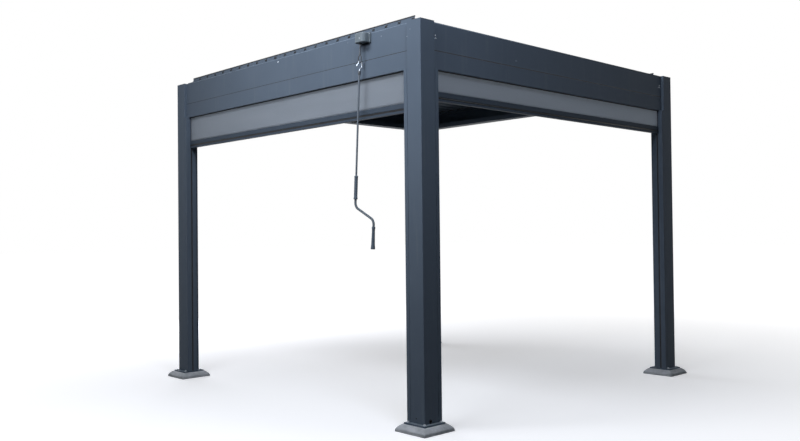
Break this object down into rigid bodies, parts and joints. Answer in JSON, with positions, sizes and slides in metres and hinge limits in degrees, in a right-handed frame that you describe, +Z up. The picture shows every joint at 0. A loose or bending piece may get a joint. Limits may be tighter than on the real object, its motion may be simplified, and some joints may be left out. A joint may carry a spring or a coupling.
{
  "type": "pergola",
  "caption": "Free-standing square louvre-roof pergola on posts with plinths, turning roof blades moved by a hand crank, and two partly lowered fabric side screens",
  "frame": {"origin": "middle of the footprint on the ground, at the underside of the concrete plinths", "axes": "X runs along the front beam, -Y is the front, +Y the back, +Z up"},
  "size_m": [3.14, 3.14, 2.56],
  "materials": {
    "frame_coat": "fine-textured powder coat, anthracite",
    "blade_coat": "fine-textured powder coat, anthracite",
    "screen_fabric": "woven glass-fibre screen fabric, grey",
    "roller_aluminium": "mill finish",
    "concrete": "cast concrete",
    "gearbox_plastic": "moulded grey plastic",
    "hook_steel": "zinc-plated bright steel",
    "rod_coat": "light grey coated tube",
    "grip_plastic": "moulded grey plastic"
  },
  "bodies": {
    "frame": {"base_plates": "frame_coat", "beam_back": "frame_coat", "beam_front": "frame_coat", "beam_left": "frame_coat", "beam_right": "frame_coat", "concrete_plinths": "concrete", "gearbox": "gearbox_plastic", "pivot_rail_back": "frame_coat", "pivot_rail_front": "frame_coat", "post_back_left": "frame_coat", "post_back_right": "frame_coat", "post_caps": "frame_coat", "post_front_left": "frame_coat", "post_front_right": "frame_coat", "roof_flashing_left": "frame_coat", "roof_flashing_right": "frame_coat", "screen_bar_front": "frame_coat", "screen_bar_right": "frame_coat", "screen_box_front": "frame_coat", "screen_box_right": "frame_coat", "screen_fabric_front": "screen_fabric", "screen_fabric_right": "screen_fabric", "screen_guides_front": "frame_coat", "screen_guides_right": "frame_coat", "screen_roller_front": "roller_aluminium", "screen_roller_right": "roller_aluminium"},
    "crank": {"gear_eye": "hook_steel", "crank_hook": "hook_steel", "crank_rod": "rod_coat", "crank_grip": "grip_plastic", "crank_sleeve": "grip_plastic"},
    "drive_bar": {"drive_bar": "roller_aluminium"},
    "drive_lever": {"drive_lever": "hook_steel"},
    "louvre_01": {"louvre_01": "blade_coat"},
    "louvre_02": {"louvre_02": "blade_coat"},
    "louvre_03": {"louvre_03": "blade_coat"},
    "louvre_04": {"louvre_04": "blade_coat"},
    "louvre_05": {"louvre_05": "blade_coat"},
    "louvre_06": {"louvre_06": "blade_coat"},
    "louvre_07": {"louvre_07": "blade_coat"},
    "louvre_08": {"louvre_08": "blade_coat"},
    "louvre_09": {"louvre_09": "blade_coat"},
    "louvre_10": {"louvre_10": "blade_coat"},
    "louvre_11": {"louvre_11": "blade_coat"},
    "louvre_12": {"louvre_12": "blade_coat"},
    "louvre_13": {"louvre_13": "blade_coat"},
    "louvre_14": {"louvre_14": "blade_coat"},
    "louvre_15": {"louvre_15": "blade_coat"},
    "louvre_16": {"louvre_16": "blade_coat"},
    "louvre_17": {"louvre_17": "blade_coat"},
    "louvre_18": {"louvre_18": "blade_coat"},
    "louvre_19": {"louvre_19": "blade_coat"},
    "louvre_20": {"louvre_20": "blade_coat"},
    "louvre_21": {"louvre_21": "blade_coat"},
    "louvre_22": {"louvre_22": "blade_coat"}
  },
  "joints": [
    {"name": "crank_turn", "type": "hinge", "parent": "frame", "child": "crank", "pos_m": [0.95619, -1.518, 2.353], "axis": [0.061, 0, 0.9981], "range_deg": [0, 2880]},
    {"name": "louvre_01_tilt", "type": "hinge", "parent": "frame", "child": "louvre_01", "pos_m": [-1.302, 0, 2.508], "axis": [0, -1, 0], "range_deg": [0, 90]},
    {"name": "louvre_02_tilt", "type": "hinge", "parent": "frame", "child": "louvre_02", "pos_m": [-1.178, 0, 2.508], "axis": [0, -1, 0], "range_deg": [0, 90]},
    {"name": "louvre_03_tilt", "type": "hinge", "parent": "frame", "child": "louvre_03", "pos_m": [-1.054, 0, 2.508], "axis": [0, -1, 0], "range_deg": [0, 90]},
    {"name": "louvre_04_tilt", "type": "hinge", "parent": "frame", "child": "louvre_04", "pos_m": [-0.93, 0, 2.508], "axis": [0, -1, 0], "range_deg": [0, 90]},
    {"name": "louvre_05_tilt", "type": "hinge", "parent": "frame", "child": "louvre_05", "pos_m": [-0.806, 0, 2.508], "axis": [0, -1, 0], "range_deg": [0, 90]},
    {"name": "louvre_06_tilt", "type": "hinge", "parent": "frame", "child": "louvre_06", "pos_m": [-0.682, 0, 2.508], "axis": [0, -1, 0], "range_deg": [0, 90]},
    {"name": "louvre_07_tilt", "type": "hinge", "parent": "frame", "child": "louvre_07", "pos_m": [-0.558, 0, 2.508], "axis": [0, -1, 0], "range_deg": [0, 90]},
    {"name": "louvre_08_tilt", "type": "hinge", "parent": "frame", "child": "louvre_08", "pos_m": [-0.434, 0, 2.508], "axis": [0, -1, 0], "range_deg": [0, 90]},
    {"name": "louvre_09_tilt", "type": "hinge", "parent": "frame", "child": "louvre_09", "pos_m": [-0.31, 0, 2.508], "axis": [0, -1, 0], "range_deg": [0, 90]},
    {"name": "louvre_10_tilt", "type": "hinge", "parent": "frame", "child": "louvre_10", "pos_m": [-0.186, 0, 2.508], "axis": [0, -1, 0], "range_deg": [0, 90]},
    {"name": "louvre_11_tilt", "type": "hinge", "parent": "frame", "child": "louvre_11", "pos_m": [-0.062, 0, 2.508], "axis": [0, -1, 0], "range_deg": [0, 90]},
    {"name": "louvre_12_tilt", "type": "hinge", "parent": "frame", "child": "louvre_12", "pos_m": [0.062, 0, 2.508], "axis": [0, -1, 0], "range_deg": [0, 90]},
    {"name": "louvre_13_tilt", "type": "hinge", "parent": "frame", "child": "louvre_13", "pos_m": [0.186, 0, 2.508], "axis": [0, -1, 0], "range_deg": [0, 90]},
    {"name": "louvre_14_tilt", "type": "hinge", "parent": "frame", "child": "louvre_14", "pos_m": [0.31, 0, 2.508], "axis": [0, -1, 0], "range_deg": [0, 90]},
    {"name": "louvre_15_tilt", "type": "hinge", "parent": "frame", "child": "louvre_15", "pos_m": [0.434, 0, 2.508], "axis": [0, -1, 0], "range_deg": [0, 90]},
    {"name": "louvre_16_tilt", "type": "hinge", "parent": "frame", "child": "louvre_16", "pos_m": [0.558, 0, 2.508], "axis": [0, -1, 0], "range_deg": [0, 90]},
    {"name": "louvre_17_tilt", "type": "hinge", "parent": "frame", "child": "louvre_17", "pos_m": [0.682, 0, 2.508], "axis": [0, -1, 0], "range_deg": [0, 90]},
    {"name": "louvre_18_tilt", "type": "hinge", "parent": "frame", "child": "louvre_18", "pos_m": [0.806, 0, 2.508], "axis": [0, -1, 0], "range_deg": [0, 90]},
    {"name": "louvre_19_tilt", "type": "hinge", "parent": "frame", "child": "louvre_19", "pos_m": [0.93, 0, 2.508], "axis": [0, -1, 0], "range_deg": [0, 90]},
    {"name": "louvre_20_tilt", "type": "hinge", "parent": "frame", "child": "louvre_20", "pos_m": [1.054, 0, 2.508], "axis": [0, -1, 0], "range_deg": [0, 90]},
    {"name": "louvre_21_tilt", "type": "hinge", "parent": "frame", "child": "louvre_21", "pos_m": [1.178, 0, 2.508], "axis": [0, -1, 0], "range_deg": [0, 90]},
    {"name": "louvre_22_tilt", "type": "hinge", "parent": "frame", "child": "louvre_22", "pos_m": [1.302, 0, 2.508], "axis": [0, -1, 0], "range_deg": [0, 90]},
    {"name": "drive_bar_swing", "type": "hinge", "parent": "louvre_01", "child": "drive_bar", "pos_m": [-1.33, -1.438, 2.48], "axis": [0, -1, 0], "range_deg": [-90, 0]},
    {"name": "drive_lever_turn", "type": "hinge", "parent": "frame", "child": "drive_lever", "pos_m": [0.969, -1.478, 2.47], "axis": [0, -1, 0], "range_deg": [0, 90]}
  ],
  "couplings": [
    {"joint": "louvre_01_tilt", "follows": "crank_turn", "ratio": 0.03125},
    {"joint": "louvre_02_tilt", "follows": "crank_turn", "ratio": 0.03125},
    {"joint": "louvre_03_tilt", "follows": "crank_turn", "ratio": 0.03125},
    {"joint": "louvre_04_tilt", "follows": "crank_turn", "ratio": 0.03125},
    {"joint": "louvre_05_tilt", "follows": "crank_turn", "ratio": 0.03125},
    {"joint": "louvre_06_tilt", "follows": "crank_turn", "ratio": 0.03125},
    {"joint": "louvre_07_tilt", "follows": "crank_turn", "ratio": 0.03125},
    {"joint": "louvre_08_tilt", "follows": "crank_turn", "ratio": 0.03125},
    {"joint": "louvre_09_tilt", "follows": "crank_turn", "ratio": 0.03125},
    {"joint": "louvre_10_tilt", "follows": "crank_turn", "ratio": 0.03125},
    {"joint": "louvre_11_tilt", "follows": "crank_turn", "ratio": 0.03125},
    {"joint": "louvre_12_tilt", "follows": "crank_turn", "ratio": 0.03125},
    {"joint": "louvre_13_tilt", "follows": "crank_turn", "ratio": 0.03125},
    {"joint": "louvre_14_tilt", "follows": "crank_turn", "ratio": 0.03125},
    {"joint": "louvre_15_tilt", "follows": "crank_turn", "ratio": 0.03125},
    {"joint": "louvre_16_tilt", "follows": "crank_turn", "ratio": 0.03125},
    {"joint": "louvre_17_tilt", "follows": "crank_turn", "ratio": 0.03125},
    {"joint": "louvre_18_tilt", "follows": "crank_turn", "ratio": 0.03125},
    {"joint": "louvre_19_tilt", "follows": "crank_turn", "ratio": 0.03125},
    {"joint": "louvre_20_tilt", "follows": "crank_turn", "ratio": 0.03125},
    {"joint": "louvre_21_tilt", "follows": "crank_turn", "ratio": 0.03125},
    {"joint": "louvre_22_tilt", "follows": "crank_turn", "ratio": 0.03125},
    {"joint": "drive_bar_swing", "follows": "crank_turn", "ratio": -0.03125},
    {"joint": "drive_lever_turn", "follows": "crank_turn", "ratio": 0.03125}
  ]
}
